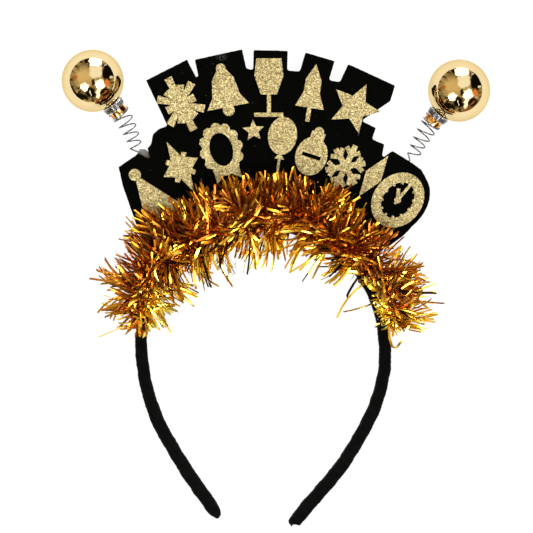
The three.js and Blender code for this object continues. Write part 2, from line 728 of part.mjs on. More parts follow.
// A dab of glue: a low dome on the back of the felt, open where the wire runs in.
function glueDab(edge, heading, wireRoom) {
  const sides = 12;
  const rings = [0, 0.5, 0.85, 1].map((down) => Array.from({ length: sides }, (_, k) => {
    const angle = (-2 * Math.PI * k) / sides;
    const size = Math.sqrt(1 - 0.85 * down * down) * (0.92 + 0.12 * chance(k, 5)) / 2;
    return new THREE.Vector3(GLUE_WIDTH * size * Math.cos(angle), GLUE_LENGTH * size * Math.sin(angle), -down * GLUE_HEIGHT);
  }));
  const dome = loft(rings).translate(0, -0.54 * GLUE_LENGTH, 0).rotateZ(-radians(heading));
  dome.translate(edge.x, edge.y, FELT_BACK - GAP);
  return geometryOf(solid(dome).subtract(solid(wireRoom)));
}

// Assembly

const headband = new THREE.Group();

function add(parent, name, geometry, material) {
  const mesh = new THREE.Mesh(geometry, material);
  mesh.name = name;
  parent.add(mesh);
  return mesh;
}

add(headband, 'headband', hoop(), knit());
add(headband, 'felt_panel', feltPanel(), felt());
for (const row of MOTIFS) add(headband, `glitter_${row.name}`, motif(row), glitter());
add(headband, 'tinsel_garland', tinsel(), foil());

// The tail's end lies just behind the felt, and the ball lies on the table.
const TAIL_HEIGHT = FELT_BACK - GAP - WIRE / 2 - GAP;
for (const { name, turn, out, heading } of BALLS) {
  const drop = Math.asin((BALL_RADIUS - TAIL_HEIGHT) / SPRING_REACH);
  const edge = fanPoint(turn, out * TAB_RADIUS);
  const arm = new THREE.Group();
  // local +Z runs from the ball to the felt, local +X to the front
  const toFelt = new THREE.Vector3(
    -Math.sin(radians(heading)) * Math.cos(drop),
    -Math.cos(radians(heading)) * Math.cos(drop),
    -Math.sin(drop),
  );
  const sideways = new THREE.Vector3().crossVectors(toFelt, new THREE.Vector3(0, 0, 1)).normalize();
  const front = new THREE.Vector3().crossVectors(sideways, toFelt).normalize();
  arm.setRotationFromMatrix(new THREE.Matrix4().makeBasis(front, new THREE.Vector3().crossVectors(toFelt, front), toFelt));
  arm.position.set(edge.x, edge.y, TAIL_HEIGHT).addScaledVector(toFelt, -SPRING_REACH);
  add(arm, `ball_${name}`, ball(), chromeGold());
  add(arm, `cap_${name}`, cap(), capMetal());
  add(arm, `spring_${name}`, spring(), steel());
  headband.add(arm);
  arm.updateMatrix();
  const wireRoom = new THREE.CylinderGeometry(WIRE / 2 + GAP, WIRE / 2 + GAP, 2 * (TAIL + GAP), 8);
  wireRoom.rotateX(Math.PI / 2).translate(0, 0, SPRING_REACH).applyMatrix4(arm.matrix);
  add(headband, `glue_${name}`, glueDab(edge, heading, wireRoom), glue());
}

// The part's own zero is on the table, under the middle of its bounding box.
const box = new THREE.Box3().setFromObject(headband, true);
const middle = box.getCenter(new THREE.Vector3());
headband.position.set(-middle.x, -middle.y, -box.min.z);

export default headband;
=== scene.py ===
"""A new year headband lying flat on its back on a white table, seen from straight above.

Metres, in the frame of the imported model. X is to the right, Y towards the top of the fan, Z up to the
camera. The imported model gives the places, and the pieces made here take over what is soft or fine.
"""

import math

import bmesh
import bpy
import numpy as np
from mathutils import Matrix, Vector, noise
from mathutils.bvhtree import BVHTree


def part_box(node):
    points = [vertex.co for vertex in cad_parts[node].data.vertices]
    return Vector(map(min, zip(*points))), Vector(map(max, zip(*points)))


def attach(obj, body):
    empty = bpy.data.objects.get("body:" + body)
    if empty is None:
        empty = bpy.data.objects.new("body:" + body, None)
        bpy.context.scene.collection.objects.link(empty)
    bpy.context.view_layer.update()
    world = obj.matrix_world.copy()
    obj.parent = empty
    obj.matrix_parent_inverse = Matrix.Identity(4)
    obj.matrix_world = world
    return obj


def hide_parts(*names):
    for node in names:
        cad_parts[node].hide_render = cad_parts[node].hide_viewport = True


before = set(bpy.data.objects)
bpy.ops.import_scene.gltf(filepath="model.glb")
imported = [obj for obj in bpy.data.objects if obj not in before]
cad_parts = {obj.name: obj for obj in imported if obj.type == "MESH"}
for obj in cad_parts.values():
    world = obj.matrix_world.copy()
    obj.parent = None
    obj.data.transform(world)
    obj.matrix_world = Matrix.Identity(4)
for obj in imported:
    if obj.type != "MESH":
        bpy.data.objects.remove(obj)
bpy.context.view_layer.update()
scene = bpy.context.scene

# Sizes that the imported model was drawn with

HALF_WIDTH = 0.061  # of the hoop at the temples
CROWN_RISE = 0.059
LEG_DROP = 0.0883
BAND_THICK = 0.0065
CROWN_THICK = 0.94  # of the hoop at its crown, in shares of BAND_THICK
BAND_DEPTH = 0.008
FAN_CENTRE_RIGHT = 0.00085
FAN_CENTRE_RISE = 0.0205
TAB_RADIUS = 0.1253
TINSEL_REACH = 0.019
TINSEL_HEIGHT = 0.0142
BALL_RADIUS = 0.0155
BALL_WALL = 0.0007
BALL_NECK = 0.0032
CAP_HEIGHT = 0.0063
SPRING_REACH = 0.0426  # from the middle of a ball to the felt
TAIL_HEIGHT = 0.0074  # of the wire where it meets the felt

# The drawing's zero, midway between the temples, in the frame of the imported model
low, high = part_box("headband")
ZERO = np.array([(low.x + high.x) / 2, high.y - CROWN_RISE - CROWN_THICK / 2 * BAND_THICK])


# Meshes

def unit(vectors):
    return vectors / np.maximum(np.linalg.norm(vectors, axis=-1, keepdims=True), 1e-12)


def mesh_object(name, points, faces, smooth=True, sharp=None):
    """An object of the given points and faces. Edges that turn more than sharp degrees stay sharp."""
    mesh = bpy.data.meshes.new(name)
    faces = [list(map(int, face)) for face in faces]
    mesh.from_pydata([tuple(map(float, point)) for point in points], [], faces)
    mesh.update()
    if smooth:
        mesh.shade_smooth()
    if sharp is not None:
        mesh.set_sharp_from_angle(angle=math.radians(sharp))
    made = bpy.data.objects.new(name, mesh)
    scene.collection.objects.link(made)
    return made


def ringed_object(name, points, sides, sharp=None):
    """A tube whose points run ring by ring, with a face over each end."""
    rings = len(points) // sides
    faces = []
    for ring in range(rings - 1):
        for k in range(sides):
            a = ring * sides + k
            b = ring * sides + (k + 1) % sides
            faces.append([a, b, b + sides, a + sides])
    faces.append(list(range(sides))[::-1])
    faces.append([(rings - 1) * sides + k for k in range(sides)])
    made = mesh_object(name, points, faces, sharp=sharp)
    shape = bmesh.new()
    shape.from_mesh(made.data)
    bmesh.ops.recalc_face_normals(shape, faces=shape.faces)
    shape.to_mesh(made.data)
    shape.free()
    return made


def lathe(name, outline, segments, place, flutes=None):
    """A body turned round its own Z from rows of radius and height, then put in place."""
    points = []
    for radius, height in outline:
        for k in range(segments):
            angle = 2 * math.pi * k / segments
            size = radius if flutes is None else radius * flutes(radius, height, angle)
            points.append(place @ Vector((size * math.cos(angle), size * math.sin(angle), height)))
    return ringed_object(name, points, segments, sharp=40)


def copy_of(node, name):
    """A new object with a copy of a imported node's mesh."""
    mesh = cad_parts[node].data.copy()
    mesh.name = name
    mesh.materials.clear()
    made = bpy.data.objects.new(name, mesh)
    scene.collection.objects.link(made)
    return made


def remesh(made, voxel):
    """Even small faces all over, so that the surface can be shaped."""
    modifier = made.modifiers.new("even", "REMESH")
    modifier.mode = "VOXEL"
    modifier.voxel_size = voxel
    modifier.use_smooth_shade = True
    depsgraph = bpy.context.evaluated_depsgraph_get()
    mesh = bpy.data.meshes.new_from_object(made.evaluated_get(depsgraph))
    made.modifiers.clear()
    made.data = mesh
    mesh.shade_smooth()


def arrays(made):
    """The places and the normals of a mesh's points, as two arrays."""
    mesh = made.data
    points = np.zeros(len(mesh.vertices) * 3, np.float32)
    mesh.vertices.foreach_get("co", points)
    normals = np.zeros(len(mesh.vertices) * 3, np.float32)
    mesh.vertices.foreach_get("normal", normals)
    return points.reshape(-1, 3).astype(float), normals.reshape(-1, 3).astype(float)


def move_points(made, points):
    made.data.vertices.foreach_set("co", points.astype(np.float32).ravel())
    made.data.update()


def roughened(points, size, seed):
    """Smooth noise from -1 to 1 for each point, with lumps of about the given size."""
    shift = Vector((seed, 2.7 * seed, 0.3 * seed))
    return np.array([noise.noise(Vector(point) / size + shift) for point in points])


# Materials

class Look:
    """A material with a Principled shader, and short calls for the nodes that feed it."""

    def __init__(self, name, **values):
        self.material = bpy.data.materials.new(name)
        self.material.use_nodes = True
        self.tree = self.material.node_tree
        self.shader = next(n for n in self.tree.nodes if n.type == "BSDF_PRINCIPLED")
        self.place = self.node("ShaderNodeTexCoord").outputs["Object"]
        self.feed(**values)

    def node(self, kind, **settings):
        made = self.tree.nodes.new(kind)
        for name, value in settings.items():
            setattr(made, name, value)
        return made

    def put(self, node, socket, value):
        target = node.inputs[socket]
        if isinstance(value, bpy.types.NodeSocket):
            self.tree.links.new(value, target)
        elif hasattr(value, "__len__") and len(value) == 3 and target.type == "RGBA":
            target.default_value = (*value, 1)
        else:
            target.default_value = value

    def noise(self, size, detail=3, roughness=0.55):
        made = self.node("ShaderNodeTexNoise")
        self.put(made, "Vector", self.place)
        self.put(made, "Scale", 1 / size)
        self.put(made, "Detail", detail)
        self.put(made, "Roughness", roughness)
        return made.outputs["Fac"]

    def cells(self, size, output="Color"):
        made = self.node("ShaderNodeTexVoronoi")
        self.put(made, "Vector", self.place)
        self.put(made, "Scale", 1 / size)
        return made.outputs[output]

    def ramp(self, value, *stops):
        made = self.node("ShaderNodeValToRGB")
        self.put(made, "Fac", value)
        elements = made.color_ramp.elements
        while len(elements) < len(stops):
            elements.new(0.5)
        for element, (place, colour) in zip(elements, stops):
            element.position = place
            element.color = (*colour, 1)
        return made.outputs["Color"]

    def fit(self, value, low, high, to_low, to_high):
        made = self.node("ShaderNodeMapRange")
        for socket, setting in zip(("Value", "From Min", "From Max", "To Min", "To Max"),
                                   (value, low, high, to_low, to_high)):
            self.put(made, socket, setting)
        return made.outputs["Result"]

    def mix(self, share, first, second):
        made = self.node("ShaderNodeMix", data_type="RGBA")
        # inputs 0, 6 and 7 and output 2 are those for colours
        self.put(made, 0, share)
        self.put(made, 6, first)
        self.put(made, 7, second)
        return made.outputs[2]

    def vector(self, operation, *values):
        made = self.node("ShaderNodeVectorMath", operation=operation)
        for k, value in enumerate(values):
            self.put(made, k, value)
        return made.outputs["Value" if operation == "LENGTH" else "Vector"]

    def maths(self, operation, *values):
        made = self.node("ShaderNodeMath", operation=operation)
        for k, value in enumerate(values):
            self.put(made, k, value)
        return made.outputs[0]

    def bump(self, height, distance, strength):
        made = self.node("ShaderNodeBump")
        self.put(made, "Height", height)
        self.put(made, "Distance", distance)
        self.put(made, "Strength", strength)
        return made.outputs["Normal"]

    def feed(self, **values):
        """Sets or links sockets of the shader, named with underscores for spaces."""
        for socket, value in values.items():
            self.put(self.shader, socket.replace("_", " "), value)


def knit_look():
    look = Look("black_knit", Roughness=0.95, Specular_IOR_Level=0.06, Sheen_Weight=0.012,
                Sheen_Roughness=0.5)
    loops = look.cells(0.0009, "Distance")
    patches = look.noise(0.004)
    colour = look.ramp(patches, (0.3, (0.0002, 0.0002, 0.0002)), (0.72, (0.0016, 0.0016, 0.0014)))
    look.feed(Base_Color=colour, Normal=look.bump(loops, 0.0003, 0.8))
    return look


def felt_look():
    look = Look("black_felt", Roughness=1.0, Specular_IOR_Level=0.02, Sheen_Weight=0.005,
                Sheen_Roughness=0.6)
    fibres = look.noise(0.0007, 6, 0.8)
    colour = look.ramp(fibres, (0.35, (0.0001, 0.0002, 0.0)), (0.75, (0.0012, 0.0013, 0.0007)))
    worn = look.vector("MULTIPLY", look.vector("SUBTRACT", look.place, (*SCUFF, 0.0)), (1.0, 1.7, 0.0))
    worn = look.fit(look.vector("LENGTH", worn), 0.001, 0.0035, 0.7, 0.0)
    worn = look.maths("MULTIPLY", worn, look.fit(look.noise(0.0008, 4), 0.45, 0.62, 0.0, 1.0))
    colour = look.mix(worn, colour, (0.06, 0.06, 0.056))
    lint = look.fit(look.noise(0.0011, 2), 0.765, 0.79, 0.0, 0.8)
    colour = look.mix(lint, colour, (0.25, 0.25, 0.24))
    look.feed(Base_Color=colour, Normal=look.bump(fibres, 0.0002, 0.7))
    return look


def glitter_look():
    """Small flakes, each tilted its own way, in tones from brown to pale gold."""
    look = Look("gold_glitter", Metallic=0.55, Roughness=0.35)
    flakes = look.cells(0.00026)
    tilt = look.vector("SUBTRACT", flakes, (0.5, 0.5, 0.5))
    tilt = look.vector("MULTIPLY", tilt, (0.9, 0.9, 0.9))
    normal = look.node("ShaderNodeNewGeometry").outputs["Normal"]
    normal = look.vector("NORMALIZE", look.vector("ADD", normal, tilt))
    tone = look.node("ShaderNodeSeparateColor")
    look.put(tone, 0, look.cells(0.00045))
    colour = look.ramp(tone.outputs[0], (0.0, (0.06, 0.043, 0.014)), (0.22, (0.2, 0.152, 0.057)),
                       (0.6, (0.3, 0.24, 0.095)), (1.0, (0.56, 0.48, 0.24)))
    look.feed(Base_Color=colour, Normal=normal)
    return look


def foil_look(name, light, dark, roughness):
    look = Look(name, Metallic=1.0, Roughness=roughness)
    streaks = look.noise(0.002, 2)
    look.feed(Base_Color=look.ramp(streaks, (0.3, dark), (0.7, light)))
    return look


def gold_mirror_look():
    # The specular tint dims and warms the ball's rim: painted shade for the shadow on the table under the
    # ball, as the mirror shows it
    look = Look("gold_mirror", Metallic=1.0, Roughness=0.03, Specular_Tint=(0.8, 0.7, 0.5))
    clouds = look.noise(0.01, 2)
    colour = look.ramp(clouds, (0.3, (0.78, 0.61, 0.32)), (0.7, (0.84, 0.67, 0.37)))
    look.feed(Base_Color=colour, Normal=look.bump(look.noise(0.004, 3), 0.0002, 0.25))
    return look


def cap_look():
    look = Look("cap_metal", Metallic=1.0)
    smears = look.noise(0.0012, 4)
    look.feed(Base_Color=look.ramp(smears, (0.3, (0.22, 0.22, 0.22)), (0.7, (0.5, 0.5, 0.5))),
              Roughness=look.fit(smears, 0.3, 0.7, 0.14, 0.3))
    return look


def sleeve_look():
    look = Look("cap_sleeve", Metallic=1.0, Roughness=0.12)
    # Bands from dark red-brown to pale gold in the base colour: painted reflections on a plain gold sleeve
    painted_reflection_bands = look.noise(0.003, 2)
    look.feed(Base_Color=look.ramp(painted_reflection_bands, (0.38, (0.35, 0.07, 0.01)), (0.5, (0.85, 0.42, 0.08)),
                                   (0.62, (0.98, 0.75, 0.4))))
    return look


def steel_look():
    look = Look("spring_steel", Metallic=1.0)
    smears = look.noise(0.001, 3)
    look.feed(Base_Color=look.ramp(smears, (0.3, (0.1, 0.1, 0.1)), (0.7, (0.2, 0.2, 0.2))),
              Roughness=look.fit(smears, 0.3, 0.7, 0.22, 0.4))
    return look


def glue_look():
    look = Look("hot_glue", Roughness=0.35)
    clouds = look.noise(0.002, 3)
    look.feed(Base_Color=look.ramp(clouds, (0.35, (0.05, 0.048, 0.046)), (0.65, (0.19, 0.185, 0.18))),
              Normal=look.bump(clouds, 0.0004, 0.6))
    return look


def finish_piece(piece, slot, *looks):
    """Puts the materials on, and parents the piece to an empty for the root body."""
    for look in looks:
        piece.data.materials.append(look.material)
    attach(piece, "root")


# The hoop, wound in black knit

# Each leg from the temple to the tip: down in shares of LEG_DROP, left and right in shares of
# HALF_WIDTH, and thick in shares of BAND_THICK
LEGS = [
    (0.0, 1.0, 1.007, CROWN_THICK),
    (0.128, 0.986, 1.012, 0.96),
    (0.246, 0.959, 0.983, 0.99),
    (0.355, 0.911, 0.935, 1.02),
    (0.468, 0.851, 0.862, 1.03),
    (0.581, 0.757, 0.765, 1.04),
    (0.695, 0.659, 0.667, 1.05),
    (0.808, 0.551, 0.532, 1.06),
    (0.921, 0.433, 0.387, 1.07),
    (1.0, 0.345, 0.292, 1.05),
]
# The right tip reaches further: right and up in shares of HALF_WIDTH, and thick
RIGHT_TIP = (0.25, -1.512, 1.0)
LINE_STEP = 0.0007
BAND_SIDES = 48
BAND_SQUARENESS = 0.64  # a section is round at 1 and square at 0
LEFT_TIP_LENGTH = 0.009
LEFT_TIP_SLANT = 0.34
RIGHT_TIP_LENGTH = 0.003
RIGHT_TIP_CORNER = 0.0011
# The winding: how far one turn gets, how high its edge stands, and the height and length of the seam
WRAP_PITCH = 0.0105
WRAP_STEP = 0.00028
SEAM_STEP = 0.00025
SEAM_LENGTH = 0.08


def hoop_line():
    """The centre line from the left tip over the crown to the right tip: x, y and thickness."""
    rows = [(-left, -down * LEG_DROP / HALF_WIDTH, thick) for down, left, right, thick in LEGS[::-1]]
    rows += [(math.cos(turn), math.sin(turn) * CROWN_RISE / HALF_WIDTH, CROWN_THICK)
             for turn in np.linspace(math.pi, 0, 60)[1:-1]]
    rows += [(right, -down * LEG_DROP / HALF_WIDTH, thick) for down, left, right, thick in LEGS]
    rows.append(RIGHT_TIP)
    rows = np.array(rows) * (HALF_WIDTH, HALF_WIDTH, BAND_THICK)
    lengths = np.linalg.norm(np.diff(rows[:, :2], axis=0), axis=1)
    along = np.concatenate([[0], np.cumsum(lengths)])
    even = np.arange(0, along[-1], LINE_STEP)
    line = np.stack([np.interp(even, along, rows[:, k]) for k in range(3)], 1)

    # smoothed twice, and lengthened before that by what the smoothing takes off each end
    reach = 10
    before = 2 * line[0] - line[reach:0:-1]
    beyond = 2 * line[-1] - line[-2:-reach - 2:-1]
    line = np.concatenate([before, line, beyond])
    kernel = np.full(reach + 1, 1 / (reach + 1))
    for _ in range(2):
        line = np.stack([np.convolve(line[:, k], kernel, "valid") for k in range(3)], 1)
    line[:, :2] += ZERO
    return line


def make_band():
    """The hoop in its winding: rounded sections along the line, with steps where the cloth laps over."""
    line = hoop_line()
    tangent = unit(np.gradient(line[:, :2], axis=0))
    outward = np.stack([-tangent[:, 1], tangent[:, 0]], -1)
    along = np.concatenate([[0], np.cumsum(np.linalg.norm(np.diff(line[:, :2], axis=0), axis=1))])
    angle = np.linspace(0, 2 * math.pi, BAND_SIDES, endpoint=False)
    across = np.sign(np.cos(angle)) * np.abs(np.cos(angle)) ** BAND_SQUARENESS
    up = np.sign(np.sin(angle)) * np.abs(np.sin(angle)) ** BAND_SQUARENESS

    # the left tip is cut on a slant, the right tip is blunt and a little ragged
    left = np.clip(along / LEFT_TIP_LENGTH, 0, 1)
    right = np.clip((along[-1] - along) / RIGHT_TIP_LENGTH, 0, 1)
    smallest = 0.05
    left_size = np.maximum(np.sqrt(1 - (1 - left) ** 2), smallest)
    right_size = np.maximum(np.sqrt(1 - (1 - right) ** 3), smallest)
    size = left_size * right_size
    slant = LEFT_TIP_SLANT * (1 - left_size)
    half = line[:, 2] / 2
    wrap = (along[:, None] / WRAP_PITCH + angle[None] / (2 * math.pi)) % 1
    step = WRAP_STEP * (np.minimum(wrap, 5 * (1 - wrap)) - 0.4)
    on_seam = (up[None] > 0) * (along[:, None] < SEAM_LENGTH)
    seam = SEAM_STEP * np.clip((across[None] + 0.35) * 6, -0.5, 0.5) * on_seam
    sideways = (half * size)[:, None] * across[None] + (half * slant)[:, None] + step * across[None]
    tall = BAND_DEPTH / 2 + (0.5 * BAND_DEPTH * size)[:, None] * up[None] + (step + seam) * up[None]
    tall -= (0.5 * BAND_DEPTH * (1 - size))[:, None] * 0.5
    corner = -RIGHT_TIP_CORNER * (1 - right)[:, None] * across[None]
    flat = line[:, None, :2] + outward[:, None] * sideways[..., None]
    flat = flat + tangent[:, None] * corner[..., None]
    points = np.concatenate([flat, tall[..., None]], -1).reshape(-1, 3)
    band = ringed_object("knit_band", points, BAND_SIDES)

    # slow bumps and small knots of the cloth
    points, normals = arrays(band)
    slow = roughened(points, 0.006, 3.0)
    knots = roughened(points, 0.0014, 8.0)
    points += normals * (0.0002 * slow + 0.00024 * knots - 0.0001)[:, None]
    points[:, 2] = np.maximum(points[:, 2], 0.0)
    move_points(band, points)
    finish_piece(band, "band_cloth", knit_look())
    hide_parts("headband")


# The felt fan

# Where the felt bulges or draws in a little at its cut edge: x, y, width and the move
EDGE_MOVES = (
    (0.0645, 0.027, 0.008, (0.0009, -0.0011)),
    (0.074, 0.0555, 0.006, (-0.0006, -0.0006)),
)
# A rubbed spot near the top of the fan
SCUFF = (-0.027, 0.1144)


def make_felt():
    """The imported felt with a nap, and an edge that isn't quite even."""
    panel = copy_of("felt_panel", "felt_fan")
    remesh(panel, 0.0006)
    points, normals = arrays(panel)
    nap = roughened(points, 0.0012, 5.0)
    points += normals * (0.00012 * nap - 0.00006)[:, None]
    for x, y, width, move in EDGE_MOVES:
        near = np.exp(-((points[:, 0] - x) ** 2 + (points[:, 1] - y) ** 2) / width ** 2)
        points[:, :2] += near[:, None] * move
    move_points(panel, points)
    finish_piece(panel, "felt", felt_look())
    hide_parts("felt_panel")


# The tinsel

# Turn goes round from the right temple, side is how far the core lies outside the hoop's centre line,
# outer and inner are how far the strips stand out, in shares of TINSEL_REACH.
LEFT_END = 170
RIGHT_END = 9
STRAND = np.array([
    (LEFT_END, 0.0, 0.65, 0.5),
    (160, 0.1, 1.05, 0.8),
    (149, 0.18, 1.3, 1.0),
    (138, 0.2, 1.35, 1.15),
    (126, 0.08, 1.35, 1.1),
    (113, 0.02, 1.35, 1.12),
    (98, 0.1, 1.3, 1.15),
    (86, 0.24, 1.15, 1.15),
    (73, 0.28, 1.2, 1.05),
    (58, 0.2, 1.2, 1.12),
    (44, 0.12, 1.2, 0.9),
    (32, 0.34, 1.2, 0.42),
    (20, 0.3, 1.12, 0.36),
    (RIGHT_END, 0.26, 1.02, 0.34),
])[::-1]


def strand_at(share):
    """Places on the garland's path, share from its left end: centre, outward, along, outer, inner."""
    turn = LEFT_END + (RIGHT_END - LEFT_END) * share
    side, outer, inner = (np.interp(turn, STRAND[:, 0], STRAND[:, k]) * TINSEL_REACH for k in (1, 2, 3))
    angle = np.radians(turn)
    zeros = np.zeros_like(angle)
    outward = unit(np.stack([np.cos(angle) / HALF_WIDTH, np.sin(angle) / CROWN_RISE, zeros], -1))
    centre = np.stack([
        ZERO[0] + HALF_WIDTH * np.cos(angle),
        ZERO[1] + CROWN_RISE * np.sin(angle),
        zeros + TINSEL_HEIGHT,
    ], -1) + outward * side[:, None]
    along = np.stack([outward[:, 1], -outward[:, 0], zeros], -1)
    return centre, outward, along, outer, inner


def near_ends(share, left, right):
    """How near each end is, from 0 to 1, over the given shares of the garland."""
    return np.clip(1 - share / left, 0, 1), np.clip(1 - (1 - share) / right, 0, 1)


def obstacles():
    """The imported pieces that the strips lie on."""
    points = []
    faces = []
    for name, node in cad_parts.items():
        if name.startswith(("headband", "felt", "glitter")):
            start = len(points)
            points += [v.co.copy() for v in node.data.vertices]
            faces += [[start + k for k in face.vertices] for face in node.data.polygons]
    return BVHTree.FromPolygons(points, faces)


def lifted(points, tree, clearance):
    """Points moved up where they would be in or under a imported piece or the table."""
    above = 0.06
    table = 0.0003
    for point, room in zip(points, clearance):
        hit = tree.ray_cast(Vector((point[0], point[1], above)), Vector((0, 0, -1)))[0]
        floor = table if hit is None else hit.z
        point[2] = max(point[2], floor + room)
    return points


# Single strips that stick out: where along the garland from its left end, the way round from straight
# outwards and the rise in degrees, length and tone, with 3 and 4 painted light and 5 a painted dark
# reflection
STRAYS = (
    (0.0, -33, 3, 0.0205, 3),
    (0.11, -27, 8, 0.0245, 4),
    (0.062, -12, 6, 0.0212, 3),
    (0.02, 2, 5, 0.0205, 4),
    (0.03, -14, 8, 0.019, 5),
    (0.865, 164, 4, 0.0265, 3),
    (0.93, -177, 3, 0.02, 4),
    (0.83, 162, 6, 0.0175, 5),
    (0.47, 178, 6, 0.0215, 3),
    (0.49, 196, 8, 0.021, 3),
    (0.34, 205, 8, 0.0235, 3),
    (0.3, 196, 5, 0.022, 5),
    (0.6, 172, 6, 0.02, 4),
    (0.68, 186, 6, 0.0225, 3),
    (0.985, 15, 6, 0.0175, 4),
    (0.96, -8, 6, 0.018, 5),
    (0.9, 2, 8, 0.019, 4),
)


# Which way the tufts point: shares of them, and the middle and spread of their turn in degrees
OUTWARD_SHARE = 0.47
INWARD_SHARE = 0.35
OUTWARD_TURN = (0, 34)
INWARD_TURN = (206, 26)
SIDEWAYS_TURN = (90, 30)
GOLDEN_SHARE = 0.618034  # spreads the three kinds of tufts evenly along the garland
# The two ends: strips lean out over the end, and those that point along the garland are cut short
END_SPLAY = 38
END_SPLAY_SHARE = 0.08
END_CUT = 0.5
END_CUT_SHARE = 0.07
# The strips themselves
STRIP_RINGS = 6
STRIP_WIDTH = (0.0007, 0.0011)
STRIP_THICK = 0.00009
SPARSE_WIDTH = 1.15
CURLY_SHARE = 0.05


def make_strips(name, tufts, count, seed, strays=()):
    """Thin foil strips that stand out from the garland's core in tufts, each like a small broom."""
    random = np.random.default_rng(seed)
    order = np.arange(tufts)
    tuft_share = (order + random.random(tufts)) / tufts
    lot = (order * GOLDEN_SHARE + 0.03 * random.normal(size=tufts)) % 1
    outwards = lot < OUTWARD_SHARE
    inwards = ~outwards & (lot < OUTWARD_SHARE + INWARD_SHARE)
    turn_out = random.normal(*OUTWARD_TURN, tufts)
    turn_in = INWARD_TURN[0] + random.normal(0, INWARD_TURN[1], tufts)
    turn_aside = SIDEWAYS_TURN[0] * random.choice([-1, 1], tufts) + random.normal(0, SIDEWAYS_TURN[1], tufts)
    tuft_turn = np.where(outwards, turn_out, np.where(inwards, turn_in, turn_aside))
    tuft_rise = np.where(outwards | inwards, random.uniform(-8, 40, tufts), random.uniform(12, 55, tufts))
    tuft_bend = random.normal(0, 0.1, tufts)
    tuft_size = random.uniform(0.8, 1.08, tufts)
    tuft_painted_light = random.random(tufts)
    tuft = random.integers(0, tufts, count)

    share = np.clip(tuft_share[tuft] + random.normal(0, 0.007, count), 0.0, 1.0)
    stray = np.array(strays).reshape(-1, 5)
    share[:len(stray)] = stray[:, 0]
    centre, outward, along, outer, inner = strand_at(share)
    at_left, at_right = near_ends(share, END_SPLAY_SHARE, END_SPLAY_SHARE)
    splay = END_SPLAY * (at_right - at_left)
    turn = tuft_turn[tuft] + random.normal(0, 7, count)
    turn = np.radians(turn + splay * np.sign(np.cos(np.radians(turn))))
    rise = np.radians(tuft_rise[tuft] + random.normal(0, 7, count))
    turn[:len(stray)] = np.radians(stray[:, 1])
    rise[:len(stray)] = np.radians(stray[:, 2])
    up = np.zeros((count, 3))
    up[:, 2] = 1
    flat = outward * np.cos(turn)[:, None] + along * np.sin(turn)[:, None]
    heading = flat * np.cos(rise)[:, None] + up * np.sin(rise)[:, None]
    reach = np.hypot(np.where(np.cos(turn) > 0, outer, inner) * np.cos(turn),
                     0.8 * TINSEL_REACH * np.sin(turn))
    sparse = (np.cos(turn) < 0) | (share < 0.12) | (share > 0.9)
    long = random.random(count) < 0.4
    spread = np.where(long, random.uniform(0.95, 1.3, count), random.uniform(0.5, 0.85, count))
    length = reach * tuft_size[tuft] * np.where(sparse, spread, random.uniform(0.86, 1.08, count))
    at_left, at_right = near_ends(share, END_CUT_SHARE, END_CUT_SHARE)
    length *= 1 - END_CUT * (at_left + at_right) * np.abs(np.sin(turn))

    # each strip is a curve from the core to its tip: it arches over a little and bends to one side
    level = np.cross(up, flat)
    bend = tuft_bend[tuft] + random.normal(0, 0.06, count)
    curly = random.random(count) < CURLY_SHARE
    bend = np.where(curly, random.normal(0, 0.6, count), bend)
    length = np.where(curly, 0.7 * length, length)
    length[:len(stray)] = stray[:, 3]
    bend[:len(stray)] *= 0.6
    start = centre + outward * random.normal(0, 0.0014, (count, 1))
    start = start + up * random.normal(0.0005, 0.0016, (count, 1))
    middle = start + heading * (0.5 * length)[:, None]
    middle += level * (bend * length)[:, None] + up * (random.uniform(0.02, 0.2, count) * length)[:, None]
    tip = start + heading * length[:, None]
    rings = STRIP_RINGS
    steps = np.linspace(0, 1, rings)
    line = np.stack([(1 - t) ** 2 * start + 2 * t * (1 - t) * middle + t * t * tip for t in steps], 1)
    clearance = np.repeat(random.uniform(0.0005, 0.0025, count), rings)
    line = lifted(line.reshape(-1, 3), obstacles(), clearance).reshape(count, rings, 3)

    tangent = unit(np.gradient(line, axis=1))
    side = unit(np.cross(tangent, up[:, None, :]))
    other = np.cross(tangent, side)
    twist = random.normal(0, 0.65, count)[:, None] + random.normal(0, 0.4, count)[:, None] * steps
    wide = side * np.cos(twist)[..., None] + other * np.sin(twist)[..., None]
    thick = np.cross(tangent, wide) * random.choice([-1, 1], (count, 1, 1))
    width = (random.uniform(*STRIP_WIDTH, count) * np.where(sparse, SPARSE_WIDTH, 1.0))[:, None, None]
    slant = np.zeros((count, rings, 1))
    slant[:, -1, 0] = random.uniform(-0.7, 0.7, count) * width[:, 0, 0]
    first = line + wide * width / 2 + tangent * slant
    second = line - wide * width / 2 - tangent * slant
    third = line + thick * STRIP_THICK
    points = np.stack([first, second, third], 2).reshape(-1, 3)

    # the faces of one strip, a thin three-sided bar, and then of all of them
    pattern = []
    for ring in range(rings - 1):
        for k in range(3):
            here = 3 * ring + k
            beside = 3 * ring + (k + 1) % 3
            pattern += [(here, beside, beside + 3), (here, beside + 3, here + 3)]
    last = 3 * (rings - 1)
    pattern += [(0, 2, 1), (last, last + 1, last + 2)]
    pattern = np.array(pattern)
    faces = (pattern[None] + 3 * rings * np.arange(count)[:, None, None]).reshape(-1, 3)
    made = mesh_object(name, points, faces, sharp=50)
